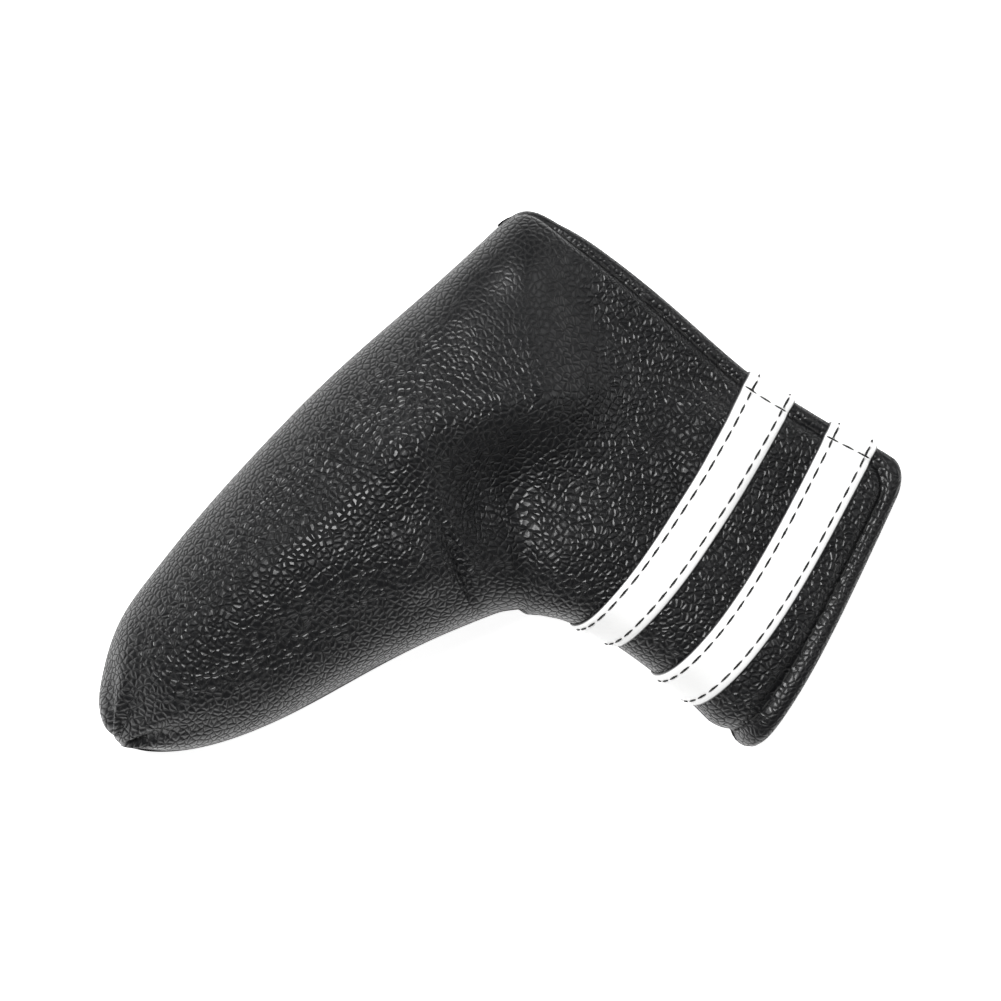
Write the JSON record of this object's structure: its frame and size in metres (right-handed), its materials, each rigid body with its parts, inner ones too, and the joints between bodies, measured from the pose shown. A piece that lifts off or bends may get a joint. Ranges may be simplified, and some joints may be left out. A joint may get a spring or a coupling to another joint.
{
  "type": "putter head cover",
  "caption": "Boot-shaped padded leather cover for a blade putter head, lying on its back, with white stripes round the neck and a front corner that peels open.",
  "frame": {"origin": "middle of the bounding box in plan, on the surface that the cover lies on", "axes": "+X from the heel towards the toe, +Y from the sole towards the mouth where the shaft comes out, +Z out of the front, away from the surface it lies on"},
  "size_m": [0.1762, 0.136, 0.0442],
  "materials": {
    "black_leather": "black pebble-grained coated leather, satin",
    "white_leather": "smooth white coated leather, satin",
    "padding_foam": "soft open foam",
    "fleece_lining": "short black fleece",
    "black_thread": "twisted black thread",
    "hook_tape": "woven tape with short stiff hooks",
    "loop_tape": "brushed loop pile"
  },
  "bodies": {
    "pocket": {"front_cover": "black_leather", "back_cover": "black_leather", "front_padding": "padding_foam", "back_padding": "padding_foam", "front_lining": "fleece_lining", "back_lining": "fleece_lining", "front_inner_stripe": "white_leather", "back_inner_stripe": "white_leather", "front_outer_stripe": "white_leather", "back_outer_stripe": "white_leather", "front_stripe_stitching": "black_thread", "back_stripe_stitching": "black_thread", "front_hem_stitching": "black_thread", "back_hem_stitching": "black_thread", "hook_tape": "hook_tape", "hook_tape_stitching": "black_thread"},
    "leaf": {"leaf_cover": "black_leather", "leaf_padding": "padding_foam", "leaf_lining": "fleece_lining", "leaf_inner_stripe": "white_leather", "leaf_outer_stripe": "white_leather", "leaf_stripe_stitching": "black_thread", "leaf_hem_stitching": "black_thread", "loop_tape": "loop_tape", "loop_tape_stitching": "black_thread"}
  },
  "joints": [
    {"name": "leaf_fold", "type": "hinge", "parent": "pocket", "child": "leaf", "pos_m": [-0.0463, 0.006, 0.0287], "axis": [0.4071, 0.9134, 0], "range_deg": [0, 55]}
  ]
}
